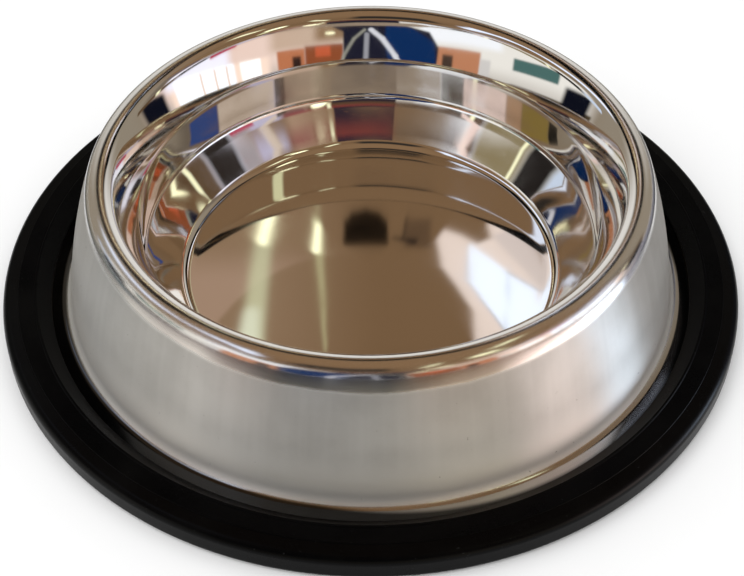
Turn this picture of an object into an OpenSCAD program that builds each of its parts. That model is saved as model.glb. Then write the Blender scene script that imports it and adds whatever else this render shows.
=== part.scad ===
// Stainless steel dog bowl with a snap-on rubber ring.
// One drawn steel sheet makes the dish, the rim, the skirt and the flange.
// The ring grips the flange in a groove and carries the bowl.
// Z is up and the origin is on the ground, under the middle of the dish.
// Every section is drawn in the plane of radius and height, and is turned once round Z.

/* [Dish] */
// Width of the flat dish floor, measured to where floor and wall would meet
floor_d = 128.0; // [110:1:134]
// Width of the dish at the bend above its sloping lower wall
bend_d = 151.8; // [142:1:154]
// Width of the dish at the ridge under the rim face
ridge_d = 152.6; // [150:1:162]
// Height of the sloping lower wall, from the floor to the bend
lower_wall_h = 14.5; // [12:0.5:17]
// Height of the steep band between the bend and the ridge
band_h = 16.1; // [11:0.1:18]
// Inside radius where the floor turns up into the wall
floor_turn_r = 4.2; // [2:0.2:8]
// Radius of the bend above the lower wall
bend_r = 2.6; // [1.5:0.1:6]
// Radius of the ridge under the rim face
ridge_r = 2.4; // [1.5:0.1:6]

/* [Rim] */
// Width of the bowl from the crest of the rim to the crest on the other side
crest_d = 175.2; // [172:1:184]
// Height of the crest above the ground
crest_h = 52.9; // [50:0.5:58]
// Radius of the rolled crest
crest_r = 5.1; // [3.6:0.1:5.6]
// Radius of the broad, slightly rounded rim face, seen in section
face_r = 65.0; // [30:1:120]

/* [Skirt] */
// Width of the skirt where its side would meet the flange
foot_d = 204.6; // [198:1:208]
// Radius of the long, gentle outward curve of the skirt, seen in section
skirt_r = 190.0; // [120:5:400]
// Radius of the hollow where the skirt runs out into the flange
foot_turn_r = 3.6; // [2.6:0.2:6]
// Width of the flat flange, from the foot of the skirt to its edge
flange_w = 12.2; // [10:0.2:16]

/* [Steel] */
// Thickness of the steel sheet
sheet_t = 0.8; // [0.5:0.1:1.2]
// Clear height between the ground and the underside of the dish floor
floor_gap = 6.2; // [3:0.2:9]

/* [Rubber ring] */
// How far the ring stands out past the edge of the flange
ring_overhang = 10.5; // [9:0.5:18]
// Height of the ring
ring_h = 10.1; // [9:0.1:12]
// Thickness of the ring's sole, under the flange
sole_t = 4.9; // [3:0.1:5.4]
// How far the sole reaches in under the flange
sole_reach = 10.0; // [5:0.5:11]
// How far the upper lip reaches in over the flange
lip_reach = 5.6; // [3:0.1:7]
// Thickness of the upper lip at its edge
lip_t = 0.7; // [0.4:0.1:1.2]
// Width of the slope that climbs from the lip's edge to the ring's top
lip_slope_w = 4.4; // [2:0.1:6]
// Width of the lower band round the outside of the ring's top
outer_band_w = 5.4; // [3.5:0.1:7]
// Depth of the small step down to that band
band_step = 0.4; // [0.2:0.1:0.8]
// How much that band falls towards the outside
band_fall = 0.8; // [0:0.1:1.5]
// Radius of the ring's upper outside edge
top_edge_r = 3.0; // [1:0.1:3.4]
// Radius of the ring's lower outside edge
low_edge_r = 2.2; // [0.5:0.1:3]
// Radius of the ring's other edges
small_edge_r = 0.3; // [0.1:0.05:0.4]
// Play between the flange and the groove, above it and round its edge
groove_play = 0.1; // [0.05:0.05:0.3]

/* [Smoothness] */
// Largest gap between a curve in a section and the straight steps that draw it
curve_gap = 0.01; // [0.005:0.005:0.03]
// Sides of each turned shape in a preview
turn_sides = 180; // [96:12:360]

/* [Hidden] */

steel_colour = [0.74, 0.73, 0.71];
rubber_colour = [0.07, 0.07, 0.08];

// Widths across the flange and the ring
flange_d = foot_d + 2 * flange_w;
ring_d = flange_d + 2 * ring_overhang;

// Heights of the sheet's upper, visible face
flange_z = sole_t + sheet_t;
floor_z = floor_gap + sheet_t;
bend_z = floor_z + lower_wall_h;
ridge_z = bend_z + band_h;

// Corners of the dish section and centre of the crest
floor_corner = [floor_d / 2, floor_z];
bend_corner = [bend_d / 2, bend_z];
ridge_corner = [ridge_d / 2, ridge_z];
crest_centre = [crest_d / 2, crest_h - crest_r];
foot_corner = [foot_d / 2, flange_z];

// Small vector helpers
function unit(v) = v / norm(v);
function heading(v) = atan2(v.y, v.x);
function on_circle(c, r, a) = c + r * [cos(a), sin(a)];
function left_of(v) = [-v.y, v.x];

// Centre that lies r1 from p and r2 from q, on the left of the way from p to q when side is 1
function two_way_centre(p, r1, q, r2, side) =
    let (
        d = norm(q - p),
        along = (d * d + r1 * r1 - r2 * r2) / (2 * d),
        across = sqrt(max(0, r1 * r1 - along * along))
    )
    p + unit(q - p) * along + side * left_of(unit(q - p)) * across;

// Point on the line through p along u that lies r from c, the further one along u when side is 1
function line_centre(p, u, c, r, side) =
    let (
        back = (p - c) * u,
        reach = back * back - (p - c) * (p - c) + r * r
    )
    p + u * (-back + side * sqrt(max(0, reach)));

// Steps that an arc needs to stay within the curve gap
function arc_steps(r, sweep) = max(2, ceil(abs(sweep) / (2 * acos(1 - curve_gap / r))));

// An arc as pairs of a point and the direction from the visible face into the sheet.
// Inward is 1 where the centre lies behind the visible face, and -1 where it lies before it.
function arc(c, r, a0, a1, inward) =
    let (count = arc_steps(r, a1 - a0))
    [for (i = [0:count])
        let (a = a0 + (a1 - a0) * i / count)
        [on_circle(c, r, a), -inward * [cos(a), sin(a)]]];

// Rounds a corner at q, between the ways to p and to s, as points
function round_corner(p, q, s, r) =
    let (
        u = unit(p - q),
        v = unit(s - q),
        half = acos(u * v) / 2,
        c = q + unit(u + v) * r / sin(half),
        a0 = heading(q + u * r / tan(half) - c),
        turn = heading(q + v * r / tan(half) - c) - a0,
        sweep = turn > 180 ? turn - 360 : turn < -180 ? turn + 360 : turn,
        count = arc_steps(r, sweep)
    )
    [for (i = [0:count]) on_circle(c, r, a0 + sweep * i / count)];

// Outline with rounded corners, from a list of [radius, height, edge radius]
function rounded_outline(corners) =
    let (n = len(corners))
    [for (i = [0:n - 1])
        let (
            before = corners[(i + n - 1) % n],
            here = corners[i],
            after = corners[(i + 1) % n]
        )
        each here[2] == 0
            ? [[here.x, here.y]]
            : round_corner([before.x, before.y], [here.x, here.y], [after.x, after.y], here[2])];

// Directions of the two straight walls of the dish
lower_wall_way = heading(bend_corner - floor_corner);
band_way = heading(ridge_corner - bend_corner);
half_floor_turn = lower_wall_way / 2;
half_bend_turn = (band_way - lower_wall_way) / 2;

// Centres of the turns, in order from the middle of the floor to the flange
floor_turn_c = floor_corner + [-floor_turn_r * tan(half_floor_turn), floor_turn_r];
bend_c = bend_corner
    + bend_r / cos(half_bend_turn) * on_circle([0, 0], 1, (lower_wall_way + band_way) / 2 + 90);
face_c = two_way_centre(ridge_corner, face_r, crest_centre, face_r - crest_r, -1);
band_unit = unit(ridge_corner - bend_corner);
ridge_c = line_centre(ridge_corner - left_of(band_unit) * ridge_r, band_unit, face_c,
                      face_r - ridge_r, 1);
skirt_c = two_way_centre(crest_centre, skirt_r - crest_r, foot_corner, skirt_r, -1);
foot_turn_c = line_centre(foot_corner + [0, foot_turn_r], [1, 0], skirt_c,
                          skirt_r + foot_turn_r, 1);

// Headings from those centres to the places where the curves meet
ridge_to_face = heading(ridge_c - face_c);
face_to_crest = heading(crest_centre - face_c);
crest_to_skirt = heading(crest_centre - skirt_c);
skirt_to_foot = heading(foot_turn_c - skirt_c);

// Visible face of the sheet, from the middle of the floor to the edge of the flange
sheet_face = concat(
    [[[0, floor_z], [0, -1]]],
    arc(floor_turn_c, floor_turn_r, -90, lower_wall_way - 90, -1),
    arc(bend_c, bend_r, lower_wall_way - 90, band_way - 90, -1),
    arc(ridge_c, ridge_r, band_way + 90, ridge_to_face, 1),
    arc(face_c, face_r, ridge_to_face, face_to_crest, 1),
    arc(crest_centre, crest_r, face_to_crest, crest_to_skirt, 1),
    arc(skirt_c, skirt_r, crest_to_skirt, skirt_to_foot, 1),
    arc(foot_turn_c, foot_turn_r, skirt_to_foot + 180, 270, -1),
    [[[flange_d / 2, flange_z], [0, -1]]]
);

module steel_bowl() {
    visible = [for (s = sheet_face) s[0]];
    hidden = [for (i = [len(sheet_face) - 1:-1:0]) sheet_face[i][0] + sheet_face[i][1] * sheet_t];
    color(steel_colour)
        rotate_extrude($fn = turn_sides)
            polygon(concat(visible, hidden));
}

// Section of the ring, measured from the flange that it grips
groove_r = flange_d / 2 + groove_play;
groove_top = flange_z + groove_play;
sole_inner_r = flange_d / 2 - sole_reach;
lip_r = flange_d / 2 - lip_reach;
lip_top_r = lip_r + lip_slope_w;
ring_r = ring_d / 2;
band_inner_r = ring_r - outer_band_w;

ring_section = [
    [sole_inner_r, 0, small_edge_r],
    [ring_r, 0, low_edge_r],
    [ring_r, ring_h - band_step - band_fall, top_edge_r],
    [band_inner_r, ring_h - band_step, 0],
    [band_inner_r, ring_h, 0],
    [lip_top_r, ring_h, small_edge_r],
    [lip_r, groove_top + lip_t, 0],
    [lip_r, groove_top, 0],
    [groove_r, groove_top, 0],
    [groove_r, sole_t, 0],
    [sole_inner_r, sole_t, small_edge_r]
];

module rubber_ring() {
    color(rubber_colour)
        rotate_extrude($fn = turn_sides)
            polygon(rounded_outline(ring_section));
}

steel_bowl();
rubber_ring();
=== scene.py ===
"""Looks of the stainless steel dog bowl: a finely turned steel sheet, a moulded ring and a small room."""
import math
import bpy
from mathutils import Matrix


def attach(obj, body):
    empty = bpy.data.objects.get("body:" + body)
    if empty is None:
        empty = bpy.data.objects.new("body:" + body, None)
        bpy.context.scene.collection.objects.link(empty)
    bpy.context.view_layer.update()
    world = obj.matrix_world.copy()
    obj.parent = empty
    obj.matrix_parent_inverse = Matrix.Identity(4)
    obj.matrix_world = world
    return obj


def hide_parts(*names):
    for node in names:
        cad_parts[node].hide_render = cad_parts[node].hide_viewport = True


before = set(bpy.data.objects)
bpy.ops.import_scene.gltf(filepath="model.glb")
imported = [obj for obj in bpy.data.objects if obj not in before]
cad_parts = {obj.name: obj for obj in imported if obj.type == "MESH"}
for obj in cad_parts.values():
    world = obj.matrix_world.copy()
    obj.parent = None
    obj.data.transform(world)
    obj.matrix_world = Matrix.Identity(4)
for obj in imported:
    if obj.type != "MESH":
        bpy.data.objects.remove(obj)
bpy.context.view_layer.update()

from types import SimpleNamespace

import bpy
import numpy as np
from mathutils import Matrix, Vector

MM = 0.001

# Sizes of the section, in millimetres, as in the part's source
FLOOR_D = 128.0
BEND_D = 151.8
RIDGE_D = 152.6
LOWER_WALL_H = 14.5
BAND_H = 16.1
FLOOR_TURN_R = 4.2
BEND_R = 2.6
RIDGE_R = 2.4
CREST_D = 175.2
CREST_H = 52.9
CREST_R = 5.1
FACE_R = 65.0
FOOT_D = 204.6
SKIRT_R = 190.0
FOOT_TURN_R = 3.6
FLANGE_D = 229.0
SHEET_T = 0.8
FLOOR_GAP = 6.2
RING_D = 250.0
RING_H = 10.1
SOLE_T = 4.9
SOLE_REACH = 10.0
LIP_REACH = 5.6
LIP_T = 0.7
LIP_SLOPE_W = 4.4
OUTER_BAND_W = 5.4
BAND_STEP = 0.4
BAND_FALL = 0.8
TOP_EDGE_R = 3.0
LOW_EDGE_R = 2.2
SMALL_EDGE_R = 0.3
GROOVE_PLAY = 0.1

# How finely the sections are drawn, eased, thinned and turned, in millimetres and degrees
STEP = 0.5
ARC_DEGREES = 4.0
CORNER_DEGREES = 9.0
SOFTEN = 0.5
SOFTEN_REACH = 4
FINE_STEPS = 4
KEEP_LEAST = 0.12
KEEP_MOST = 3.0
KEEP_DEGREES = 1.2
SIDES = 512
TINY = 1e-6


def unit(v):
    return v / np.linalg.norm(v)


def heading(v):
    return math.degrees(math.atan2(v[1], v[0]))


def on_circle(c, r, a):
    turn = math.radians(a)
    return np.asarray(c, float) + r * np.array([math.cos(turn), math.sin(turn)])


def left_of(v):
    return np.array([-v[1], v[0]])


def two_way_centre(p, r1, q, r2, side):
    """Centre that lies r1 from p and r2 from q, on the left of the way from p to q when side is 1."""
    d = np.linalg.norm(q - p)
    along = (d * d + r1 * r1 - r2 * r2) / (2 * d)
    across = math.sqrt(max(0, r1 * r1 - along * along))
    return p + unit(q - p) * along + side * left_of(unit(q - p)) * across


def line_centre(p, u, c, r, side):
    """Point on the line through p along u that lies r from c, the further one along u when side is 1."""
    back = (p - c) @ u
    reach = back * back - (p - c) @ (p - c) + r * r
    return p + u * (-back + side * math.sqrt(max(0, reach)))


def arc(c, r, a0, a1):
    """Points of an arc, close enough together for a clean reflection."""
    sweep = abs(a1 - a0)
    n = max(3, math.ceil(math.radians(sweep) * r / STEP), math.ceil(sweep / ARC_DEGREES))
    return [on_circle(c, r, a0 + (a1 - a0) * i / n) for i in range(n + 1)]


def sheet_face():
    """Visible face of the steel sheet, from the middle of the floor to the edge of the flange."""
    floor_z = FLOOR_GAP + SHEET_T
    flange_z = SOLE_T + SHEET_T
    floor_corner = np.array([FLOOR_D / 2, floor_z])
    bend_corner = np.array([BEND_D / 2, floor_z + LOWER_WALL_H])
    ridge_corner = np.array([RIDGE_D / 2, floor_z + LOWER_WALL_H + BAND_H])
    crest = np.array([CREST_D / 2, CREST_H - CREST_R])
    foot_corner = np.array([FOOT_D / 2, flange_z])
    wall_way = heading(bend_corner - floor_corner)
    band_way = heading(ridge_corner - bend_corner)
    floor_in = FLOOR_TURN_R * math.tan(math.radians(wall_way / 2))
    floor_turn = floor_corner + np.array([-floor_in, FLOOR_TURN_R])
    bend_off = BEND_R / math.cos(math.radians((band_way - wall_way) / 2))
    bend = bend_corner + bend_off * on_circle((0, 0), 1, (wall_way + band_way) / 2 + 90)
    face = two_way_centre(ridge_corner, FACE_R, crest, FACE_R - CREST_R, -1)
    band_unit = unit(ridge_corner - bend_corner)
    ridge = line_centre(ridge_corner - left_of(band_unit) * RIDGE_R, band_unit,
                        face, FACE_R - RIDGE_R, 1)
    skirt = two_way_centre(crest, SKIRT_R - CREST_R, foot_corner, SKIRT_R, -1)
    foot_turn = line_centre(foot_corner + np.array([0, FOOT_TURN_R]), np.array([1.0, 0.0]), skirt,
                            SKIRT_R + FOOT_TURN_R, 1)
    ridge_to_face = heading(ridge - face)
    face_to_crest = heading(crest - face)
    crest_to_skirt = heading(crest - skirt)
    skirt_to_foot = heading(foot_turn - skirt)
    points = [np.array([0.0, floor_z])]
    points += arc(floor_turn, FLOOR_TURN_R, -90, wall_way - 90)
    points += arc(bend, BEND_R, wall_way - 90, band_way - 90)
    points += arc(ridge, RIDGE_R, band_way + 90, ridge_to_face)
    points += arc(face, FACE_R, ridge_to_face, face_to_crest)
    points += arc(crest, CREST_R, face_to_crest, crest_to_skirt)
    points += arc(skirt, SKIRT_R, crest_to_skirt, skirt_to_foot)
    points += arc(foot_turn, FOOT_TURN_R, skirt_to_foot + 180, 270)
    points.append(np.array([FLANGE_D / 2, flange_z]))
    return np.array(points)


def softened(points, spread, step):
    """The same line with its turns eased over a short way, as in pressed metal, at even steps."""
    way = np.concatenate([[0], np.cumsum(np.linalg.norm(np.diff(points, axis=0), axis=1))])
    keep = np.concatenate([[True], np.diff(way) > TINY])
    points, way = points[keep], way[keep]
    fine = step / FINE_STEPS
    s = np.linspace(0, way[-1], int(way[-1] / fine) + 1)
    line = np.stack([np.interp(s, way, points[:, i]) for i in range(2)], 1)
    span = np.arange(-SOFTEN_REACH * spread, SOFTEN_REACH * spread + fine, fine)
    weight = np.exp(-0.5 * (span / spread) ** 2)
    weight /= weight.sum()
    moves = np.diff(line, axis=0)
    pad = len(weight) // 2
    moves = np.concatenate([np.repeat(moves[:1], pad, 0), moves, np.repeat(moves[-1:], pad, 0)])
    moves = np.stack([np.convolve(moves[:, i], weight, "valid") for i in range(2)], 1)
    eased = np.concatenate([line[:1], line[0] + np.cumsum(moves[:len(line) - 1], axis=0)])
    eased += (line[-1] - eased[-1]) * np.linspace(0, 1, len(eased))[:, None]
    return eased


def normals_of(points):
    """Directions to the left of the line's way, which is out of the metal on the visible face."""
    way = np.gradient(points, axis=0)
    way /= np.linalg.norm(way, axis=1)[:, None]
    return np.stack([-way[:, 1], way[:, 0]], 1)


def thinned(points, normals, least, most, degrees):
    """Keeps a point where the line has turned enough or gone far enough since the last one kept."""
    kept = [0]
    for i in range(1, len(points) - 1):
        gone = np.linalg.norm(points[i] - points[kept[-1]])
        turned = math.degrees(math.acos(max(-1, min(1, float(normals[i] @ normals[kept[-1]])))))
        if gone >= most or (gone >= least and turned >= degrees):
            kept.append(i)
    kept.append(len(points) - 1)
    return points[kept], normals[kept]


def turned(name, section, normals, closed):
    """Mesh of a section turned round Z, with the section's own normals for clean reflections."""
    angle = np.arange(SIDES) * 2 * math.pi / SIDES
    cos, sin = np.cos(angle), np.sin(angle)
    on_axis = section[0, 0] < TINY
    rows = section[1:-1] if on_axis else section
    row_normals = normals[1:-1] if on_axis else normals
    place = np.stack([np.outer(rows[:, 0], cos), np.outer(rows[:, 0], sin),
                      np.repeat(rows[:, 1:2], SIDES, 1)], -1).reshape(-1, 3) * MM
    facing = np.stack([np.outer(row_normals[:, 0], cos), np.outer(row_normals[:, 0], sin),
                       np.repeat(row_normals[:, 1:2], SIDES, 1)], -1).reshape(-1, 3)
    faces = []
    count = len(rows)
    for i in range(count if closed else count - 1):
        a = i * SIDES
        b = ((i + 1) % count) * SIDES
        faces += [(b + j, b + (j + 1) % SIDES, a + (j + 1) % SIDES, a + j) for j in range(SIDES)]
    if on_axis:
        top, under = len(place), len(place) + 1
        place = np.concatenate([place, [[0, 0, section[0, 1] * MM], [0, 0, section[-1, 1] * MM]]])
        facing = np.concatenate([facing, [[0, 0, 1], [0, 0, -1]]])
        last = (count - 1) * SIDES
        faces += [(top, j, (j + 1) % SIDES) for j in range(SIDES)]
        faces += [(under, last + (j + 1) % SIDES, last + j) for j in range(SIDES)]
    mesh = bpy.data.meshes.new(name)
    mesh.from_pydata(place.tolist(), [], faces)
    mesh.polygons.foreach_set("use_smooth", [True] * len(mesh.polygons))
    mesh.normals_split_custom_set_from_vertices(facing.tolist())
    piece = bpy.data.objects.new(name, mesh)
    bpy.context.scene.collection.objects.link(piece)
    return piece


def steel_shell():
    """The whole pressed sheet: its visible face, its rim edge in the ring and its hidden face."""
    face = softened(sheet_face(), SOFTEN, STEP)
    normals = normals_of(face)
    face, normals = thinned(face, normals, KEEP_LEAST, KEEP_MOST, KEEP_DEGREES)
    normals[0] = (0, 1)
    back = (face - normals * SHEET_T)[::-1]
    section = np.concatenate([face, back])
    return turned("steel_sheet", section, np.concatenate([normals, -normals[::-1]]), False)


shell = steel_shell()
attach(shell, "root")
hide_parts("steel_bowl")


# Camera of the photograph: how far and how high it stands, its lens and its tilt
PHOTO_W, PHOTO_H = 744, 576
CENTRE_PX = (370.4, 246.9)
FOCAL_PX = 1537.4
CAMERA_DISTANCE = 0.525
CAMERA_ELEVATION = math.radians(42.98)
CAMERA_ROLL = math.radians(-0.33)
AIM_HEIGHT = 0.015
SENSOR_MM = 36.0
CLIP_START = 0.01


def camera_axes():
    """Place of the camera, and its directions to the right, up and forward."""
    c, s = math.cos(CAMERA_ELEVATION), math.sin(CAMERA_ELEVATION)
    place = Vector((0, -CAMERA_DISTANCE * c, CAMERA_DISTANCE * s + AIM_HEIGHT))
    level, up, forward = Vector((1, 0, 0)), Vector((0, s, c)), Vector((0, c, -s))
    right = level * math.cos(CAMERA_ROLL) + up * math.sin(CAMERA_ROLL)
    up = up * math.cos(CAMERA_ROLL) - level * math.sin(CAMERA_ROLL)
    return place, right, up, forward


def add_camera():
    place, right, up, forward = camera_axes()
    lens = bpy.data.cameras.new("camera")
    lens.sensor_fit = "HORIZONTAL"
    lens.sensor_width = SENSOR_MM
    lens.lens = FOCAL_PX / PHOTO_W * SENSOR_MM
    lens.shift_x = (PHOTO_W / 2 - CENTRE_PX[0]) / PHOTO_W
    lens.shift_y = (CENTRE_PX[1] - PHOTO_H / 2) / PHOTO_W
    lens.clip_start = CLIP_START
    camera = bpy.data.objects.new("camera", lens)
    rows = [[right[i], up[i], -forward[i], place[i]] for i in range(3)]
    camera.matrix_world = Matrix(rows + [[0, 0, 0, 1]])
    bpy.context.scene.collection.objects.link(camera)
    bpy.context.scene.camera = camera


add_camera()


# Fine bead and crisp edges of the rubber ring, in millimetres
BEAD_R = 0.3
BEAD_H = 0.3
CRISP_R = 0.12


def round_corner(p, q, s, r):
    """Points of a rounded corner at q, between the ways to p and to s."""
    u, v = unit(p - q), unit(s - q)
    half = math.acos(max(-1, min(1, float(u @ v)))) / 2
    c = q + unit(u + v) * r / math.sin(half)
    a0 = heading(q + u * r / math.tan(half) - c)
    turn = heading(q + v * r / math.tan(half) - c) - a0
    turn = turn - 360 if turn > 180 else turn + 360 if turn < -180 else turn
    n = max(3, math.ceil(abs(turn) / CORNER_DEGREES))
    return [on_circle(c, r, a0 + turn * i / n) for i in range(n + 1)]


def ring_outline():
    """Section of the ring, from corners that are given as radius, height and edge radius."""
    flange_z = SOLE_T + SHEET_T
    groove_r = FLANGE_D / 2 + GROOVE_PLAY
    groove_top = flange_z + GROOVE_PLAY
    sole_inner_r = FLANGE_D / 2 - SOLE_REACH
    lip_r = FLANGE_D / 2 - LIP_REACH
    lip_top_r = lip_r + LIP_SLOPE_W
    ring_r = RING_D / 2
    band_r = ring_r - OUTER_BAND_W
    corners = [
        (sole_inner_r, 0, SMALL_EDGE_R), (ring_r, 0, LOW_EDGE_R),
        (ring_r, RING_H - BAND_STEP - BAND_FALL, TOP_EDGE_R), (band_r, RING_H - BAND_STEP, CRISP_R),
        (band_r, RING_H, BEAD_R / 2), (lip_top_r + 3 * BEAD_R, RING_H, CRISP_R),
        (lip_top_r + 2 * BEAD_R, RING_H + BEAD_H, CRISP_R), (lip_top_r, RING_H + BEAD_H, CRISP_R),
        (lip_r, groove_top + LIP_T, CRISP_R), (lip_r, groove_top, CRISP_R),
        (groove_r, groove_top, CRISP_R), (groove_r, SOLE_T, CRISP_R), (sole_inner_r, SOLE_T, SMALL_EDGE_R)]
    spots = [np.array(c[:2], float) for c in corners]
    n = len(corners)
    points = []
    for i in range(n):
        points += round_corner(spots[i - 1], spots[i], spots[(i + 1) % n], corners[i][2])
    return np.array(points)[::-1]


def loop_normals(points):
    """Outward directions of a closed line that runs with its outside on the left."""
    way = np.roll(points, -1, 0) - np.roll(points, 1, 0)
    way /= np.linalg.norm(way, axis=1)[:, None]
    return np.stack([-way[:, 1], way[:, 0]], 1)


outline = ring_outline()
ring = turned("moulded_ring", outline, loop_normals(outline), True)
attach(ring, "root")
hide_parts("rubber_ring")


# Node helpers for the procedural materials
def new_material(name):
    material = bpy.data.materials.new(name)
    material.use_nodes = True
    material.node_tree.nodes.clear()
    return material, material.node_tree


def add(tree, kind, sockets=(), **settings):
    """A node with its settings; a socket is fed by another socket or holds a plain value."""
    node = tree.nodes.new(kind)
    for key, value in settings.items():
        setattr(node, key, value)
    for key, value in dict(sockets).items():
        if isinstance(value, bpy.types.NodeSocket):
            tree.links.new(value, node.inputs[key])
        else:
            node.inputs[key].default_value = value
    return node


def maths(tree, operation, a, b=0.0):
    return add(tree, "ShaderNodeMath", {0: a, 1: b}, operation=operation).outputs[0]


def plus(tree, a, b):
    return maths(tree, "ADD", a, b)


def less(tree, a, b):
    return maths(tree, "SUBTRACT", a, b)


def times(tree, a, b):
    return maths(tree, "MULTIPLY", a, b)


def ramped(tree, value, low, high, to_low=0.0, to_high=1.0):
    """Carries a value smoothly from one range to another."""
    sockets = {"Value": value, "From Min": low, "From Max": high, "To Min": to_low, "To Max": to_high}
    return add(tree, "ShaderNodeMapRange", sockets, interpolation_type="SMOOTHSTEP").outputs["Result"]


def noise(tree, place, scale, detail=3.0, roughness=0.5):
    sockets = {"Vector": place, "Scale": scale, "Detail": detail, "Roughness": roughness}
    return add(tree, "ShaderNodeTexNoise", sockets).outputs["Fac"]


def stretched(tree, place, scale):
    return add(tree, "ShaderNodeMapping", {"Vector": place, "Scale": scale}).outputs["Vector"]


def blended(tree, factor, a, b):
    """Colour a where the factor is 0 and colour b where it is 1."""
    return add(tree, "ShaderNodeMix", {0: factor, 6: a, 7: b}, data_type="RGBA").outputs[2]


def bumped(tree, height, strength, distance, normal=None):
    sockets = {"Height": height, "Strength": strength, "Distance": distance}
    if normal is not None:
        sockets["Normal"] = normal
    return add(tree, "ShaderNodeBump", sockets).outputs["Normal"]


# Patterns of the finishes: the noise, and the values where each pattern starts and is full
PATTERNS = {
    "mottle": {"scale": 45.0, "detail": 5.0, "roughness": 0.6, "low": 0.35, "high": 0.7},
    "wiped": {"scale": 22.0, "detail": 4.0, "roughness": 0.6, "low": 0.42, "high": 0.72},
    "speck": {"scale": 520.0, "detail": 2.0, "roughness": 0.5, "low": 0.735, "high": 0.775},
    "uprights": {"stretch": (900.0, 1.0, 14.0), "detail": 3.0, "roughness": 0.6, "low": 0.62, "high": 0.74},
    "columns": {"stretch": (190.0, 1.0, 9.0), "detail": 2.0, "roughness": 0.5, "low": 0.38, "high": 0.72},
    "swirl": {"stretch": (260.0, 2600.0, 900.0), "detail": 3.0, "roughness": 0.6, "low": 0.6, "high": 0.75},
    "rubber_cloud": {"scale": 38.0, "detail": 5.0, "roughness": 0.6, "low": 0.4, "high": 0.75},
    "rubber_dust": {"scale": 900.0, "detail": 2.0, "roughness": 0.5, "low": 0.7, "high": 0.78}}


def pattern(tree, place, name):
    """One of the named patterns, from 0 to 1."""
    p = PATTERNS[name]
    if "stretch" in p:
        place = stretched(tree, place, p["stretch"])
    cloud = noise(tree, place, p.get("scale", 1.0), p["detail"], p["roughness"])
    return ramped(tree, cloud, p["low"], p["high"])


# Zones of the finish, in metres: polished dish and rim, roll outside the crest, satin skirt, darker foot with
# painted shade by the ring
ZONE_EDGE = 0.001
SATIN_IN_R = 0.0885
SATIN_TOP_Z = (0.0490, 0.0510)
SATIN_LOW_Z = (0.0059, 0.0067)
SATIN_UP_Z = (0.010, 0.026)
ROLL_R = (0.0842, 0.0872)
FOOT_IN_R = 0.0980
# Radii where the painted shade on the foot starts and is full
FOOT_SHADE_R = (0.1026, 0.1044)
LEVEL_R = (0.0590, 0.0620)
# How much lower the polish reaches for each metre towards the front, and how its edge wavers
FRONT_DROP = 0.042
WAVER_SCALE = 60.0
WAVER_DETAIL = 2.0
WAVER_RISE = 0.0014
# Where the painted shade on the foot is eased at the front right, and how much further out it starts there
SHADE_EASED_ALONG = 0.06
SHADE_EASED_LEAN = 0.10

# Tones of the steel, and the shares of the streaks and specks in the satin
POLISHED = (0.80, 0.785, 0.76, 1)
SATIN = (0.57, 0.56, 0.53, 1)
SATIN_DULL = (0.52, 0.51, 0.48, 1)
# Painted light: the lower satin skirt is made paler, against the dark ring that it mirrors
SATIN_PAINTED_LIGHT = (0.86, 0.845, 0.80, 1)
SATIN_PALE = (0.66, 0.65, 0.62, 1)
# Darker foot tone, partly painted shade near the ring
FOOT = (0.52, 0.51, 0.50, 1)
# Painted shade: near black on the foot where it meets the ring's lip
FOOT_SHADE = (0.06, 0.06, 0.06, 1)
SPECK = (0.22, 0.20, 0.18, 1)
COLUMNS_SHARE = 0.3
SPECK_SHARE = 0.7
# How metallic the satin is, and the level of the steel's plain sheen
SATIN_METAL = 0.75
STEEL_SPECULAR = 0.2

# Roughness of the steel: polish, what the roll and the marks add to it, and satin with what its grain adds
POLISH_ROUGH = 0.03
ROLL_ROUGH = 0.09
OUTSIDE_ROUGH = 0.03
WIPED_ROUGH = 0.035
SWIRL_ROUGH = 0.03
SATIN_ROUGH = 0.39
MOTTLE_ROUGH = 0.05
BRUSHED_ROUGH = 0.06
# How far the foot eases the roll's roughness, and the share of marks and ripple that the dish floor has
FOOT_EASE = 0.6
DISH_MARKS = 0.4

# Radius at which the skirt is unrolled for its patterns
UNROLLED_R = 0.1
# Grain of the satin and ripple of the polish: noise, strength and depth in metres
BRUSHED_STRETCH = (40.0, 900.0, 4200.0)
BRUSHED_DETAIL = 4.0
BRUSHED_BREAK = 0.65
BRUSHED_ALONG = 0.9
QUARTER_TURN = 0.25
GRAIN_STRENGTH = 0.10
GRAIN_DEPTH = 0.00003
RIPPLE_SCALE = 55.0
RIPPLE_DETAIL = 1.0
RIPPLE_STRENGTH = 0.05
RIPPLE_DEPTH = 0.0004


def around(tree):
    """Place on the object, its parts, its distance from the axis, and its place on the unrolled skirt."""
    place = add(tree, "ShaderNodeTexCoord").outputs["Object"]
    x, y, z = add(tree, "ShaderNodeSeparateXYZ", {0: place}).outputs
    out = maths(tree, "SQRT", plus(tree, times(tree, x, x), times(tree, y, y)))
    along = times(tree, maths(tree, "ARCTAN2", y, x), UNROLLED_R)
    unrolled = add(tree, "ShaderNodeCombineXYZ", {0: along, 1: out, 2: z}).outputs[0]
    return SimpleNamespace(place=place, x=x, y=y, z=z, out=out, unrolled=unrolled)


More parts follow.
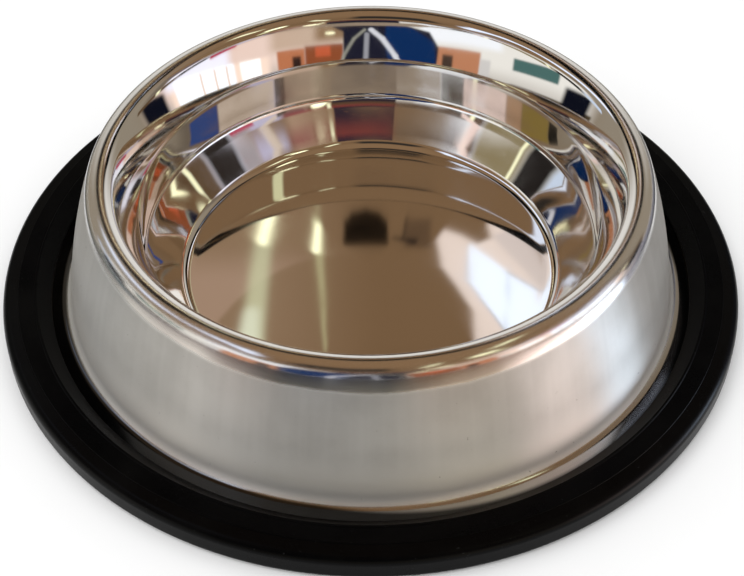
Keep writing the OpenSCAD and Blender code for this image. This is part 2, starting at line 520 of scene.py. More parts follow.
def steel_zones(tree, at):
    """Where the sheet lies outside the crest, and where it is satin, foot and the foot's painted shade, from
    0 to 1.
    """
    outside = ramped(tree, at.out, SATIN_IN_R, SATIN_IN_R + ZONE_EDGE)
    waver = times(tree, noise(tree, at.place, WAVER_SCALE, WAVER_DETAIL), WAVER_RISE)
    forward = maths(tree, "MAXIMUM", times(tree, at.y, -1.0), 0.0)
    rim_height = plus(tree, plus(tree, at.z, waver), times(tree, forward, FRONT_DROP))
    below_rim = ramped(tree, rim_height, *SATIN_TOP_Z, 1.0, 0.0)
    above_flange = ramped(tree, at.z, *SATIN_LOW_Z)
    satin = times(tree, outside, times(tree, below_rim, above_flange))
    past_skirt = ramped(tree, at.out, FOOT_IN_R, FOOT_IN_R + ZONE_EDGE)
    foot = times(tree, past_skirt, less(tree, 1.0, above_flange))
    # Painted shade on the foot near the ring, which starts further out at the front right
    front_right = times(tree, less(tree, at.x, at.y), math.sqrt(0.5))
    shade_eased = maths(tree, "MAXIMUM", less(tree, front_right, SHADE_EASED_ALONG), 0.0)
    leaning = less(tree, at.out, times(tree, shade_eased, SHADE_EASED_LEAN))
    foot_shade = times(tree, foot, ramped(tree, leaning, *FOOT_SHADE_R))
    return SimpleNamespace(outside=outside, satin=satin, foot=foot, foot_shade=foot_shade)


def steel_colour(tree, at, zone, mottle):
    """Polished inside, clouded and streaky satin outside, made paler towards its foot by painted light, and a
    darker foot with painted shade by the ring.
    """
    # Painted light: the satin is made paler towards its foot
    lower = ramped(tree, at.z, *SATIN_UP_Z, 1.0, 0.0)
    tone = blended(tree, mottle, SATIN, SATIN_DULL)
    columns = times(tree, pattern(tree, at.unrolled, "columns"), COLUMNS_SHARE)
    tone = blended(tree, columns, tone, SATIN_PALE)
    tone = blended(tree, lower, tone, SATIN_PAINTED_LIGHT)
    specks = times(tree, pattern(tree, at.place, "speck"), SPECK_SHARE)
    tone = blended(tree, specks, tone, SPECK)
    # Darker foot tone and painted shade on the foot by the ring
    bare = blended(tree, zone.foot_shade, blended(tree, zone.foot, POLISHED, FOOT), FOOT_SHADE)
    return blended(tree, zone.satin, bare, tone)


def steel_roughness(tree, at, zone, mottle, brushed, above_dish):
    """Satin with its mottle and grain, and polish with the roll of the rim, wipe marks and swirls."""
    grain = plus(tree, times(tree, mottle, MOTTLE_ROUGH), times(tree, brushed, BRUSHED_ROUGH))
    satin_rough = plus(tree, SATIN_ROUGH, grain)
    roll = plus(tree, times(tree, ramped(tree, at.out, *ROLL_R), ROLL_ROUGH),
                times(tree, zone.outside, OUTSIDE_ROUGH))
    roll = times(tree, roll, less(tree, 1.0, times(tree, zone.foot, FOOT_EASE)))
    marks = plus(tree, times(tree, pattern(tree, at.place, "wiped"), WIPED_ROUGH),
                 times(tree, pattern(tree, at.place, "swirl"), SWIRL_ROUGH))
    polish_rough = plus(tree, plus(tree, POLISH_ROUGH, roll), times(tree, marks, above_dish))
    return plus(tree, times(tree, satin_rough, zone.satin),
                times(tree, polish_rough, less(tree, 1.0, zone.satin)))


def steel_relief(tree, at, zone, brushed, above_dish):
    """Grain and upright scratches in the satin, and a slight ripple in the polish."""
    uprights = pattern(tree, at.unrolled, "uprights")
    relief = plus(tree, times(tree, brushed, zone.satin), times(tree, uprights, zone.satin))
    normal = bumped(tree, relief, GRAIN_STRENGTH, GRAIN_DEPTH)
    ripple = noise(tree, at.place, RIPPLE_SCALE, RIPPLE_DETAIL)
    ripple = times(tree, ripple, times(tree, less(tree, 1.0, zone.satin), above_dish))
    return bumped(tree, ripple, RIPPLE_STRENGTH, RIPPLE_DEPTH, normal)


def steel_material():
    """Stainless sheet: mirror polish with faint swirls and wipe marks, and a satin, finely brushed skirt."""
    material, tree = new_material("stainless_steel")
    at = around(tree)
    zone = steel_zones(tree, at)
    mottle = pattern(tree, at.place, "mottle")
    brushed = noise(tree, stretched(tree, at.unrolled, BRUSHED_STRETCH), 1.0, BRUSHED_DETAIL, BRUSHED_BREAK)
    above_dish = ramped(tree, at.out, *LEVEL_R, DISH_MARKS, 1.0)
    tangent = add(tree, "ShaderNodeTangent", direction_type="RADIAL", axis="Z").outputs[0]
    shader = add(tree, "ShaderNodeBsdfPrincipled", {
        "Base Color": steel_colour(tree, at, zone, mottle),
        "Metallic": ramped(tree, zone.satin, 0.0, 1.0, 1.0, SATIN_METAL),
        "Roughness": steel_roughness(tree, at, zone, mottle, brushed, above_dish),
        "Specular IOR Level": STEEL_SPECULAR, "Anisotropic": BRUSHED_ALONG,
        "Anisotropic Rotation": QUARTER_TURN, "Tangent": tangent,
        "Normal": steel_relief(tree, at, zone, brushed, above_dish)})
    add(tree, "ShaderNodeOutputMaterial", {"Surface": shader.outputs[0]})
    return material


# Rubber: tones, the shares of worn clouds and dust, roughness, and the moulded grain
RUBBER = (0.0008, 0.0008, 0.0010, 1)
RUBBER_WORN = (0.0024, 0.0024, 0.0024, 1)
RUBBER_DUST = (0.05, 0.05, 0.048, 1)
WORN_SHARE = 0.6
DUST_SHARE = 0.25
RUBBER_ROUGH = 0.24
RUBBER_CLOUD_ROUGH = 0.10
RUBBER_GRAIN_ROUGH = 0.08
RUBBER_SPECULAR = 0.07
RUBBER_GRAIN_SCALE = 2600.0
RUBBER_GRAIN_DETAIL = 2.0
RUBBER_GRAIN_STRENGTH = 0.06
RUBBER_GRAIN_DEPTH = 0.00003


def rubber_material():
    """Black moulded rubber: a fine moulded grain, worn clouds and a little dust."""
    material, tree = new_material("moulded_rubber")
    place = add(tree, "ShaderNodeTexCoord").outputs["Object"]
    grain = noise(tree, place, RUBBER_GRAIN_SCALE, RUBBER_GRAIN_DETAIL)
    cloud = pattern(tree, place, "rubber_cloud")
    dust = pattern(tree, place, "rubber_dust")
    colour = blended(tree, times(tree, cloud, WORN_SHARE), RUBBER, RUBBER_WORN)
    colour = blended(tree, times(tree, dust, DUST_SHARE), colour, RUBBER_DUST)
    worn = plus(tree, times(tree, cloud, RUBBER_CLOUD_ROUGH), times(tree, grain, RUBBER_GRAIN_ROUGH))
    shader = add(tree, "ShaderNodeBsdfPrincipled", {
        "Base Color": colour, "Roughness": plus(tree, RUBBER_ROUGH, worn),
        "Normal": bumped(tree, grain, RUBBER_GRAIN_STRENGTH, RUBBER_GRAIN_DEPTH),
        "Specular IOR Level": RUBBER_SPECULAR})
    add(tree, "ShaderNodeOutputMaterial", {"Surface": shader.outputs[0]})
    return material


shell.data.materials.append(steel_material())
ring.data.materials.append(rubber_material())


# Painting helpers for what the steel mirrors: colours are written as they show in the polished steel
def linear(rgb):
    """Light of a colour, by the standard curve of screen colours."""
    c = np.array(rgb, float) / 255
    return np.where(c <= 0.04045, c / 12.92, ((c + 0.055) / 1.055) ** 2.4)


def seen(rgb, bounces=1, gain=1.0):
    """Light that shows as this colour after so many reflections in polished steel."""
    return linear(rgb) / np.array(POLISHED[:3]) ** bounces * gain


def smooth(x):
    x = np.clip(x, 0, 1)
    return x * x * (3 - 2 * x)


def past(x, a, soft):
    """0 before a and 1 past it, with an edge as soft as asked."""
    return smooth((x - a) / (2 * soft) + 0.5)


def between(x, x0, x1, soft):
    return past(x, x0, soft) * (1 - past(x, x1, soft))


def box(x, y, x0, x1, y0, y1, soft):
    return between(x, x0, x1, soft) * past(y, y0, soft) * (1 - past(y, y1, soft))


def oval(x, y, cx, cy, rx, ry, soft):
    reach = np.hypot((x - cx) / rx, (y - cy) / ry)
    return 1 - past(reach, 1, soft)


def off_line(x, y, start, end):
    """How far each place lies from a straight stretch, and how far along it the nearest point is."""
    (ax, ay), (bx, by) = start, end
    way = (bx - ax) ** 2 + (by - ay) ** 2
    t = np.clip(((x - ax) * (bx - ax) + (y - ay) * (by - ay)) / way, 0, 1)
    return np.hypot(x - ax - t * (bx - ax), y - ay - t * (by - ay)), t


def streak(x, y, start, end, start_w, end_w, soft):
    """A straight band from start to end whose half width goes from start_w to end_w."""
    off, t = off_line(x, y, start, end)
    return 1 - past(off, start_w + (end_w - start_w) * t, soft)


def inside(x, y, corners, soft):
    """1 inside a polygon and 0 outside it, with an edge as soft as asked."""
    away = np.full(x.shape, np.inf)
    within = np.zeros(x.shape, bool)
    for start, end in zip(corners, corners[1:] + corners[:1]):
        away = np.minimum(away, off_line(x, y, start, end)[0])
        (ax, ay), (bx, by) = start, end
        cross = (ay > y) != (by > y)
        rise = by - ay if by != ay else TINY
        within ^= cross & (x < (bx - ax) * (y - ay) / rise + ax)
    return past(np.where(within, away, -away), 0, soft)


def laid(under, mask, light):
    return under * (1 - mask[..., None]) + light * mask[..., None]


def painted(light, x, y, shape, table):
    """Lays shapes over the light, each as what the shape needs, its share, its tone and its strength."""
    for *places, share, tone, gain in table:
        light = laid(light, shape(x, y, *places) * share, seen(tone, gain=gain))
    return light


def with_bands(light, mask, near, tones, soft, bounces):
    """Lays tones side by side along a band, each from and to so many degrees."""
    for x0, x1, tone in tones:
        light = laid(light, mask * between(near, x0, x1, soft), seen(tone, bounces))
    return light


def glowing(name, grid, light):
    """A staged sheet of points, rows by columns, that only reflections see, with its light at each point."""
    rows, cols = grid.shape[:2]
    faces = [(i * cols + j, i * cols + j + 1, (i + 1) * cols + j + 1, (i + 1) * cols + j)
             for i in range(rows - 1) for j in range(cols - 1)]
    mesh = bpy.data.meshes.new(name)
    mesh.from_pydata(grid.reshape(-1, 3).tolist(), [], faces)
    layer = mesh.color_attributes.new("light", "FLOAT_COLOR", "POINT")
    values = np.concatenate([light.reshape(-1, 3), np.ones((rows * cols, 1))], 1)
    layer.data.foreach_set("color", values.astype(np.float32).ravel())
    sheet = bpy.data.objects.new(name, mesh)
    bpy.context.scene.collection.objects.link(sheet)
    material, tree = new_material(name)
    colour = add(tree, "ShaderNodeAttribute", attribute_name="light").outputs["Color"]
    glow = add(tree, "ShaderNodeEmission", {"Color": colour, "Strength": 1.0})
    add(tree, "ShaderNodeOutputMaterial", {"Surface": glow.outputs[0]})
    material.cycles.emission_sampling = "NONE"
    mesh.materials.append(material)
    sheet.visible_camera = False
    sheet.visible_diffuse = False
    sheet.visible_shadow = False
    sheet.visible_transmission = False
    sheet.visible_volume_scatter = False


# Plain colours, as they show in the steel
CEILING = (116, 90, 64)
FAR_WALL = (140, 129, 113)
FAR_WALL_LOW = (216, 212, 206)
WARM_WALL = (236, 208, 194)
PALE_WALL = (234, 230, 222)
SKIRTING = (176, 168, 158)
DAYLIGHT = (255, 252, 250)
DAYLIGHT_BLUE = (240, 246, 255)
PEACH = (240, 214, 196)
LAMP = (255, 252, 208)
CARD = (30, 30, 44)
CARD_BLUE = (16, 44, 88)
NIGHT = (14, 16, 26)
SHADE = (46, 42, 38)

# Steps of the walls, in degrees round from the camera's side or up: where each lies and how soft it is
FAR_SIDE = (96, 26)
FAR_TOP = (52, 16)
CEILING_FROM = (62, 16)
BACK_SIDE = (148, 16)
BACK_TOP = (30, 5)
FRONT_SIDE = (110, 6)
FRONT_TOP = (38, 4)
WARM_SIDE = (20, 40)
SKIRTING_TOP = (10, 6)
SKIRTING_SHARE = 0.6
# How the top of the front wall falls to the left and to the right, by the square of the degrees
FRONT_FALL = (0.0008, 0.0016)
# Boxes in those degrees: from and to, lowest and highest, edge, share, tone and strength
WALL_PATCHES = ((11, 46, 20, 40, 4, 0.75, (186, 158, 132), 1.0),
                (10, 25, 24, 40, 3, 1.0, (146, 118, 90), 1.0),
                (-62, -24, 24, 37, 2.5, 1.0, (246, 248, 252), 1.0))
DAYLIGHTS = ((47, 97, -4, 18, 2, 1.0, PEACH, 1.15), (66, 99, 14, 31, 3, 1.0, (234, 232, 244), 1.15),
             (51, 61, 5, 18, 0.8, 1.0, DAYLIGHT, 1.2), (64, 94, -4, 18.5, 1.2, 1.0, DAYLIGHT_BLUE, 1.3),
             (67, 68, -4, 18, 0.4, 1.0, PEACH, 1.0), (73, 74, -4, 18, 0.4, 1.0, PEACH, 1.0),
             (80, 81, -4, 18, 0.4, 1.0, PEACH, 1.0), (101, 112, 14, 44, 6, 0.5, (80, 76, 72), 1.0))
DARK_ENDS = ((100, 113, -4, 15, 1.5, 1.0, NIGHT, 1.0), (-109, -95, -4, 15, 1.5, 1.0, NIGHT, 1.0))
# Plain shapes along the wall: from and to, lowest and highest, and their colour
SHAPES_EDGE = 0.8
SHAPES = ((30, 43, -4, 20, (186, 116, 80)), (12, 30, -4, 21, (140, 76, 46)),
          (18, 25, 13, 20, (194, 92, 58)), (32, 36, -4, 15, (48, 32, 28)),
          (-52, -27, -4, 21, (186, 126, 92)), (-31, -27, -4, 18, (214, 212, 216)),
          (-39, -34, -4, 16, (66, 52, 44)), (-57, -52, -4, 17, (206, 202, 198)),
          (-91, -68, 14.5, 22.0, (74, 106, 102)), (-112, -68, -4, 6, (70, 58, 40)))

# Dark card over the camera's side, with a blue side and pale uprights, by way, half width and tone
CARD_SHAPE = [(12, -4), (12, 29), (20, 35), (20, 45), (4, 47),
              (-14, 44), (-14, 34), (-28, 30), (-32, 20), (-31, -4)]
BLUE_SHAPE = [(-10, -4), (-7, 22), (-8, 35), (-20, 32), (-30, 23), (-31, 10), (-29, -4)]
CARD_SHAPES = ((CARD_SHAPE, 0.7, 1.0, CARD, 1.0), (BLUE_SHAPE, 1.0, 1.0, CARD_BLUE, 1.0))
UPRIGHTS = ((((14, -4), (12, 12), (7, 24), (2, 30)), 0.7, (150, 148, 136)),
            (((2, -4), (1, 27)), 1.1, (150, 150, 156)),
            (((-15, -4), (-12, 12), (-6, 24), (-1, 30)), 1.3, (214, 214, 220)))
UPRIGHTS_EDGE = 0.7

# Steep band and sloping lower wall of the dish: the courses of what they mirror, and the tones along them
BAND_TOP = 34.0
BAND_RISE = 2.1
BAND_HALF = 0.7
BAND_FRONT_HALF = 0.5
BAND_FRONT = (26, 4)
BAND_BOX = (-110, 106, -1, 1, 0.3)
BAND_SOFT = 1.2
BAND_TONES = ((-112, -103, (24, 22, 18)), (-103, -84, (120, 100, 50)), (-84, -74, (160, 126, 98)),
              (-74, -49, (222, 196, 184)), (-49, -37, (72, 64, 54)), (-37, 44, (134, 117, 99)),
              (44, 50, (70, 62, 52)), (50, 84, (188, 170, 152)), (84, 104, (40, 62, 112)))
BAND_PATCH = (-74, -45, 38, 48, 4, 0.8, (176, 175, 184), 1.0)
SLOPE_TOP = 40.3
SLOPE_BEND = 0.59
SLOPE_HALF = 0.9
SLOPE_SPREAD = 75
SLOPE_BOX = (-116, 116, -1.15, 0.85, 0.3)
SLOPE_SOFT = 2.5
SLOPE_TONES = ((-118, -104, (196, 208, 226)), (-104, -88, (32, 28, 26)), (-88, -62, (134, 120, 88)),
               (-62, 34, (87, 66, 46)), (34, 48, (118, 82, 78)), (48, 66, (184, 178, 200)),
               (66, 76, (158, 150, 152)), (76, 92, (40, 33, 28)), (92, 118, (90, 70, 50)))
SLOPE_UPPER = (0.0, 0.5)
SLOPE_RED_BOX = (-14, 46, 0, 90, 4)
SLOPE_RED_SHARE = 0.55
SLOPE_RED = (150, 48, 58)
SLOPE_ROSE_BOX = (62, 75, -2.4, -0.2, 0.4)
SLOPE_ROSE_FROM = (62, 1.5)
SLOPE_ROSE = (176, 58, 84)
# Lamps on the slope, as middle and half width, and lamps above the wall, as ovals
SLOPE_LAMPS = ((22, 1.0), (-55, 1.2), (-85, 0.9), (103, 1.2))
SLOPE_LAMP_EDGE = 0.8
LAMPS = ((51, 53, 6, 4.5, 0.25, 1.0, LAMP, 1.6), (27, 37.4, 4.4, 1.3, 0.25, 1.0, LAMP, 1.6),
         (18, 28.6, 2.4, 0.8, 0.25, 1.0, LAMP, 1.6))

# Far part of the dish floor with a glint, and what the front of the rim mirrors: ways, half width and edge
FAR_FLOOR = (-112, 112, 41.9, 47.5, 0.5)
GLINT = (50, 56, 1.2)
GLINT_TONE = (200, 196, 154)
RIM_SHADE = (-37, 9, 48, 66, 5, 1.0, SHADE, 1.0)
RIM_SKY_WAYS = (((-136, 41), (-106, 49), (-92, 59), (-70, 61), (-54, 54)),)
RIM_SKY_SIZE = (3.8, 2.6)
RIM_SKY = (226, 234, 252)
RIM_SKY_GAIN = 1.15
RIM_LAMP_WAYS = (((23, 52), (34, 61)), ((80, 66), (110, 67)))
RIM_LAMP_SIZE = (1.8, 1.6)
RIM_LAMP_GAIN = 1.1


def walls(near, height):
    """Ceiling, far wall and the wall on the camera's side, warmer to the right, with what stands along it."""
    light = np.broadcast_to(seen(CEILING, 2), near.shape + (3,)).copy()
    turn = np.abs(near)
    round_far = 1 - past(turn, *FAR_SIDE)
    light = laid(light, (1 - round_far) * (1 - past(height, *FAR_TOP)), seen(FAR_WALL))
    light = laid(light, round_far * (1 - past(height, *CEILING_FROM)), seen(CEILING))
    light = laid(light, past(turn, *BACK_SIDE) * (1 - past(height, *BACK_TOP)), seen(FAR_WALL_LOW))
    front = 1 - past(turn, *FRONT_SIDE)
    warm = past(near, *WARM_SIDE)[..., None]
    wall = seen(PALE_WALL) * (1 - warm) + seen(WARM_WALL) * warm
    fall = np.where(near < 0, *FRONT_FALL)
    light = laid(light, (1 - past(height + fall * near ** 2, *FRONT_TOP)) * front, wall)
    light = painted(light, near, height, box, WALL_PATCHES)
    light = laid(light, (1 - past(height, *SKIRTING_TOP)) * front * SKIRTING_SHARE, seen(SKIRTING))
    for *sides, tone in SHAPES:
        light = laid(light, box(near, height, *sides, SHAPES_EDGE), seen(tone))
    return light


def dark_card(light, near, height):
    """Dark card over the camera's side, with pale uprights on it."""
    light = painted(light, near, height, inside, CARD_SHAPES)
    for places, half_width, tone in UPRIGHTS:
        for start, end in zip(places, places[1:]):
            mask = streak(near, height, start, end, half_width, half_width, UPRIGHTS_EDGE)
            light = laid(light, mask, seen(tone))
    return light


def dish_slope(light, near, height):
    """What the sloping lower wall of the dish mirrors, with red in its upper part and lamps."""
    course = SLOPE_TOP * np.cos(np.radians(SLOPE_BEND * near))
    half = SLOPE_HALF + (near / SLOPE_SPREAD) ** 2
    slope = box(near, (height - course) / half, *SLOPE_BOX)
    light = with_bands(light, slope, near, SLOPE_TONES, SLOPE_SOFT, 1)
    upper = slope * past(height - course, *SLOPE_UPPER)
    light = laid(light, upper * box(near, height, *SLOPE_RED_BOX) * SLOPE_RED_SHARE, seen(SLOPE_RED))
    rose = box(near, (height - course) / half, *SLOPE_ROSE_BOX) * past(near, *SLOPE_ROSE_FROM)
    light = laid(light, rose, seen(SLOPE_ROSE))
    for middle, half_width in SLOPE_LAMPS:
        lamp = between(near, middle - half_width, middle + half_width, SLOPE_LAMP_EDGE)
        light = laid(light, slope * lamp, seen(LAMP))
    return light


def dish_band(light, near, height):
    """What the steep band of the dish mirrors, by way of two reflections."""
    course = BAND_TOP + BAND_RISE * (near / 90) ** 2
    reach = BAND_HALF + BAND_FRONT_HALF * (1 - past(np.abs(near), *BAND_FRONT))
    strip = box(near, (height - course) / reach, *BAND_BOX)
    light = with_bands(light, strip, near, BAND_TONES, BAND_SOFT, 2)
    return painted(light, near, height, box, [BAND_PATCH])


def far_dish_floor(light, near, height):
    """The ceiling as the far part of the dish floor sees it, by way of the wall, and lamps above the wall."""
    far_floor = box(near, height, *FAR_FLOOR)
    light = laid(light, far_floor, seen(CEILING, 2))
    light = laid(light, far_floor * between(near, *GLINT), seen(GLINT_TONE, 2))
    return painted(light, near, height, oval, LAMPS)


def along_ways(near, height, ways, half_width, soft):
    """1 along ways of straight stretches and 0 off them."""
    stretches = [stretch for way in ways for stretch in zip(way, way[1:])]
    masks = (streak(near, height, a, b, half_width, half_width, soft) for a, b in stretches)
    return np.clip(sum(masks), 0, 1)


def rim_front(light, near, height):
    """Shade, daylight and lamps in the front of the rim."""
    light = painted(light, near, height, box, [RIM_SHADE])
    sky = along_ways(near, height, RIM_SKY_WAYS, *RIM_SKY_SIZE)
    light = laid(light, sky, seen(RIM_SKY, gain=RIM_SKY_GAIN))
    lamps = along_ways(near, height, RIM_LAMP_WAYS, *RIM_LAMP_SIZE)
    return laid(light, lamps, seen(LAMP, gain=RIM_LAMP_GAIN))


def room_light(near, height):
    """Light by direction, in degrees round from the camera's side and up. What is laid last lies on top."""
    light = walls(near, height)
    light = painted(light, near, height, box, DAYLIGHTS)
    light = dark_card(light, near, height)
    light = painted(light, near, height, box, DARK_ENDS)
    light = dish_slope(light, near, height)
    light = dish_band(light, near, height)
    light = far_dish_floor(light, near, height)
    return rim_front(light, near, height)


# Plain tones close round the object
STONE = (132, 126, 114)
SLATE = (98, 106, 108)
PUTTY = (136, 127, 124)
UMBER = (104, 90, 86)
SOOT = (48, 49, 52)
BROWN = (106, 84, 67)
TAN = (150, 124, 110)
PALE = (198, 188, 186)
DUSK = (143, 141, 152)
DIM = (108, 108, 116)
ASH = (224, 216, 204)
CREAM = (232, 218, 190)
BLUSH = (240, 218, 208)
SKY = (224, 238, 255)
# Degrees round from the camera's side, tone and strength, as they show in the roll of the rim
NEARBY = ((-180, STONE, 1.0), (-97, STONE, 0.95), (-76, SLATE, 1.0), (-59, PUTTY, 1.0),
          (-40, UMBER, 1.0), (-23, SOOT, 1.0), (4, SOOT, 0.8), (19, BROWN, 1.0),
          (44, TAN, 1.0), (61, PALE, 1.0), (70, PALE, 0.85), (80, PALE, 0.7),
          (90, DUSK, 0.8), (108, DIM, 1.0), (128, STONE, 1.0), (180, STONE, 1.0))
# The same below that, as the satin skirt mirrors it
LOWER_NEARBY = ((-180, STONE, 0.6), (-125, SOOT, 0.6), (-97, SOOT, 0.6), (-88, ASH, 0.15),
                (-79, ASH, 0.4), (-70, ASH, 0.9), (-57, ASH, 1.2), (-47, ASH, 2.0),
                (-39, ASH, 1.4), (-24, CREAM, 0.45), (0, CREAM, 0.75), (10, CREAM, 1.0),
                (20, CREAM, 1.5), (32, CREAM, 1.3), (41, BLUSH, 3.6), (49, BLUSH, 5.0),
                (57, BLUSH, 4.6), (64, SKY, 6.2), (71, SKY, 7.0), (75, SKY, 3.0),
                (80, DUSK, 1.0), (90, DIM, 0.5), (108, SOOT, 0.6), (124, STONE, 0.4), (180, STONE, 0.6))
NEARBY_R = 0.17
NEARBY_LOW = 0.0002
NEARBY_HIGH = 0.048
NEARBY_SPLIT = (0.017, 0.026)
NEARBY_ROWS = 25
NEARBY_COLUMNS = 721


def round_tones(near, table):
    """Light at each place round, which passes evenly from one tone of the table to the next."""
    tones = np.array([seen(tone, gain=gain) for _, tone, gain in table])
    return np.stack([np.interp(near, [a for a, _, _ in table], tones[:, i]) for i in range(3)], -1)


def add_nearby():
    """A low round of tones, which the skirt and the roll of the rim mirror below the level of the eye."""
    turn = np.linspace(-180, 180, NEARBY_COLUMNS)
    near, height = np.meshgrid(turn, np.linspace(NEARBY_LOW, NEARBY_HIGH, NEARBY_ROWS))
    split_from, split_to = NEARBY_SPLIT
    low = 1 - smooth((height - split_from) / (split_to - split_from))
    light = laid(round_tones(near, NEARBY), low, round_tones(near, LOWER_NEARBY))
    a = np.radians(near)
    glowing("nearby", np.stack([np.sin(a) * NEARBY_R, -np.cos(a) * NEARBY_R, height], -1), light)


add_nearby()

ROOM_R = 4.0
ROOM_LOWEST = -4.0
ROOM_ROWS = 361
ROOM_COLUMNS = 1081


def add_room():
    """A dome of light by direction, from a little below the level of the ground to straight up."""
    turn = np.linspace(-180, 180, ROOM_COLUMNS)
    near, high = np.meshgrid(turn, np.linspace(ROOM_LOWEST, 90, ROOM_ROWS))
    a, e = np.radians(near), np.radians(high)
    way = np.stack([np.sin(a) * np.cos(e), -np.cos(a) * np.cos(e), np.sin(e)], -1)
    glowing("room", way * ROOM_R, room_light(near, high))


add_room()

# Card that every flat, level face of the object mirrors. Its places are the photograph's pixels
CARD_LEFT, CARD_RIGHT, CARD_TOP, CARD_BOTTOM = -60, 800, 110, 610
CARD_STEP = 2.0
CARD_AWAY = 1.6
CARD_GROUND = (12, 12, 13)
# Dish floor and the pool of shade in it, as ovals, and its lighter parts: where they end and how softly
DISH_FLOOR = (372, 252, 215, 118, 0.05)
POOL = (352, 420, 166, 166, 0.01)
LEFT_TO = (318, 70)
LEFT_TONE = (142, 116, 91)
LOWER_FROM = (262, 22)
LOWER_LEFT_TO = (330, 60)
LOWER_LEFT_TONE = (164, 136, 115)
LIGHTER_SHARE = 0.8
# Bright patch, its shaded side and its pane: corners, edge, share, tone and strength
PATCH = [(437, 240), (444, 229), (462, 235), (478, 243), (491, 238), (487, 223), (497, 219), (513, 226),
         (537, 249), (552, 274), (560, 340), (474, 345), (473, 311), (457, 286), (441, 266)]
PATCH_SIDE = [(492, 236), (513, 228), (537, 249), (550, 276), (552, 300)]
PANE = [(469, 242), (508, 272), (537, 290), (545, 312), (520, 345), (505, 331), (468, 281)]
BRIGHT_SHAPES = ((PATCH, 3.0, 1.0, (226, 208, 196), 1.05), (PATCH_SIDE, 3.0, 0.5, (184, 174, 172), 1.0),
                 (PANE, 1.2, 1.0, (226, 234, 246), 1.25))
BAR = (112, 118, 134)
# Streaks: start and end, half width at each, edge, share, tone and strength
BARS = (((469, 242), (468, 281), 0.5, 0.7, 0.8, 0.85, BAR, 1.0),
        ((509, 266), (506, 332), 0.5, 0.7, 0.8, 0.85, BAR, 1.0),
        ((508, 272), (540, 292), 0.5, 0.7, 0.8, 0.85, BAR, 1.0),
        ((468, 281), (505, 331), 0.5, 0.7, 0.8, 0.85, BAR, 1.0))
FLANGE_STREAKS = (((424, 520), (474, 506), 7, 9, 6, 1.0, (90, 68, 44), 1.6),
                  ((478, 502), (488, 498), 7, 9, 6, 1.0, (84, 78, 62), 1.6),
                  ((498, 494), (520, 486), 7, 9, 6, 1.0, (130, 106, 92), 1.6),
                  ((532, 480), (556, 466), 7, 9, 6, 1.0, (200, 180, 168), 2.2),
                  ((562, 462), (600, 432), 7, 9, 6, 1.0, (226, 226, 238), 2.2),
                  ((610, 422), (650, 376), 7, 9, 6, 1.0, (214, 220, 236), 1.4))
LAMP_STREAKS = (((268, 205), (250, 352), 7, 12, 6, 0.75, (204, 204, 166), 1.0),
                ((251, 316), (246, 356), 8, 13, 7, 0.6, (232, 236, 212), 1.0),
                ((277, 186), (262, 240), 5.5, 4.5, 4.0, 1.0, LAMP, 2.0),
                ((317, 222), (326, 350), 4.5, 1.2, 2.5, 0.7, (196, 192, 146), 1.0),
                ((318, 180), (317, 222), 1.5, 3.5, 3, 0.35, (186, 180, 140), 1.0),
                ((318, 226), (316, 250), 3, 4, 2.6, 1.0, LAMP, 1.6))
DARK_STREAKS = (((393, 238), (414, 242), 1.2, 3.0, 1.6, 1.0, (20, 18, 20), 1.0),
                ((407, 217), (404, 240), 0.9, 1.1, 1.2, 0.9, (34, 28, 24), 1.0))
# Dark arch with a dim patch beside it, and a dim oval in the far wall of the dish
ARCH = [(343, 246), (344, 222), (352, 212), (366, 208.5), (379, 212), (387, 221), (389, 246)]
ARCH_SHAPE = (ARCH, 1.6, 1.0, (14, 10, 7), 1.0)
DIM_PATCH = (405, 431, 219, 248, 3.0, 0.6, (66, 50, 38), 1.0)
DIM_OVAL = (439, 179.5, 8, 4.5, 0.35, 0.55, (74, 68, 64), 1.0)


def card_light(u, v):
    """Light on the card, by pixel: a dim ceiling with bright streaks and patches, and dark round that."""
    light = np.broadcast_to(seen(CARD_GROUND), u.shape + (3,)).copy()
    light = painted(light, u, v, streak, FLANGE_STREAKS)
    dish = oval(u, v, *DISH_FLOOR)
    light = laid(light, dish, seen(CEILING))
    light = laid(light, dish * (1 - past(u, *LEFT_TO)) * LIGHTER_SHARE, seen(LEFT_TONE))
    lower_left = past(v, *LOWER_FROM) * (1 - past(u, *LOWER_LEFT_TO)) * dish
    light = laid(light, (1 - oval(u, v, *POOL)) * lower_left * LIGHTER_SHARE, seen(LOWER_LEFT_TONE))
    light = painted(light, u, v, inside, BRIGHT_SHAPES)
    light = painted(light, u, v, streak, BARS + LAMP_STREAKS)
    light = painted(light, u, v, inside, [ARCH_SHAPE])
    light = painted(light, u, v, box, [DIM_PATCH])
    light = painted(light, u, v, streak, DARK_STREAKS)
    return painted(light, u, v, oval, [DIM_OVAL])


def add_card():
    """Card in the view of the camera as level faces mirror it, so that a pixel lands where it should."""
    place, right, up, forward = camera_axes()
    mirror = 2 * (FLOOR_GAP + SHEET_T) * MM
    columns = np.arange(CARD_LEFT, CARD_RIGHT, CARD_STEP)
    u, v = np.meshgrid(columns, np.arange(CARD_TOP, CARD_BOTTOM, CARD_STEP))
    x, y = (u - CENTRE_PX[0]) / FOCAL_PX, (CENTRE_PX[1] - v) / FOCAL_PX
    way = x[..., None] * np.array(right) + y[..., None] * np.array(up) + np.array(forward)
    spot = np.array(place) + way * CARD_AWAY
    spot[..., 2] = mirror - spot[..., 2]
    glowing("level_card", spot, card_light(u, v))


add_card()

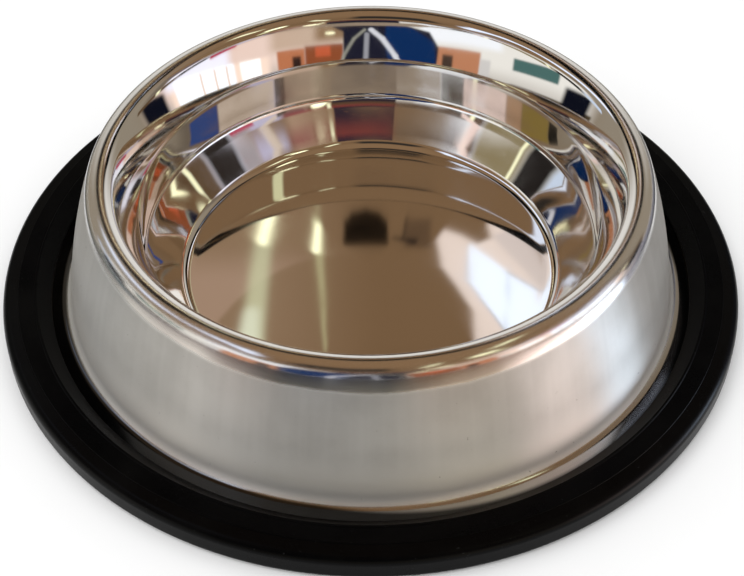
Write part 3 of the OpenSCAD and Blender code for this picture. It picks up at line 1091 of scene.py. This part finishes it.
# Pale floor, even light from all round and one soft lamp for a gentle shadow
FLOOR_R = 4.3
FLOOR_SIDES = 96
FLOOR_TONE = (0.95, 0.95, 0.95, 1)
FLOOR_ROUGH = 0.9
WORLD_LEVEL = 0.92
LAMP_PLACE = (-0.7, -0.5, 1.6)
LAMP_SIZE = 1.6
LAMP_WATTS = 9.0


def add_floor():
    turn = np.arange(FLOOR_SIDES) * 2 * math.pi / FLOOR_SIDES
    corners = [(FLOOR_R * math.cos(a), FLOOR_R * math.sin(a), 0) for a in turn]
    mesh = bpy.data.meshes.new("ground")
    mesh.from_pydata(corners, [], [list(range(FLOOR_SIDES))])
    ground = bpy.data.objects.new("ground", mesh)
    bpy.context.scene.collection.objects.link(ground)
    material, tree = new_material("pale_ground")
    shader = add(tree, "ShaderNodeBsdfPrincipled",
                 {"Base Color": FLOOR_TONE, "Roughness": FLOOR_ROUGH, "Specular IOR Level": 0.0})
    add(tree, "ShaderNodeOutputMaterial", {"Surface": shader.outputs[0]})
    mesh.materials.append(material)


def add_world():
    """Even light, a little dimmer than the white that the camera sees. The steel mirrors the room instead."""
    world = bpy.data.worlds.new("studio")
    world.use_nodes = True
    tree = world.node_tree
    tree.nodes.clear()
    paths = add(tree, "ShaderNodeLightPath").outputs
    mirrored = maths(tree, "MAXIMUM", paths["Is Glossy Ray"], paths["Is Transmission Ray"])
    shown = maths(tree, "MAXIMUM", paths["Is Camera Ray"], mirrored)
    level = plus(tree, WORLD_LEVEL, times(tree, shown, 1 - WORLD_LEVEL))
    sky = add(tree, "ShaderNodeBackground", {"Color": (1, 1, 1, 1), "Strength": level})
    add(tree, "ShaderNodeOutputWorld", {"Surface": sky.outputs[0]})
    bpy.context.scene.world = world
    world.cycles_visibility.glossy = False


def add_lamp():
    lamp = bpy.data.lights.new("soft_lamp", "AREA")
    lamp.shape = "DISK"
    lamp.size = LAMP_SIZE
    lamp.energy = LAMP_WATTS
    stand = bpy.data.objects.new("soft_lamp", lamp)
    stand.location = LAMP_PLACE
    stand.rotation_euler = (-Vector(LAMP_PLACE)).to_track_quat("-Z", "Y").to_euler()
    stand.visible_glossy = False
    bpy.context.scene.collection.objects.link(stand)


add_floor()
add_world()
add_lamp()
bpy.context.scene.view_settings.view_transform = "Standard"
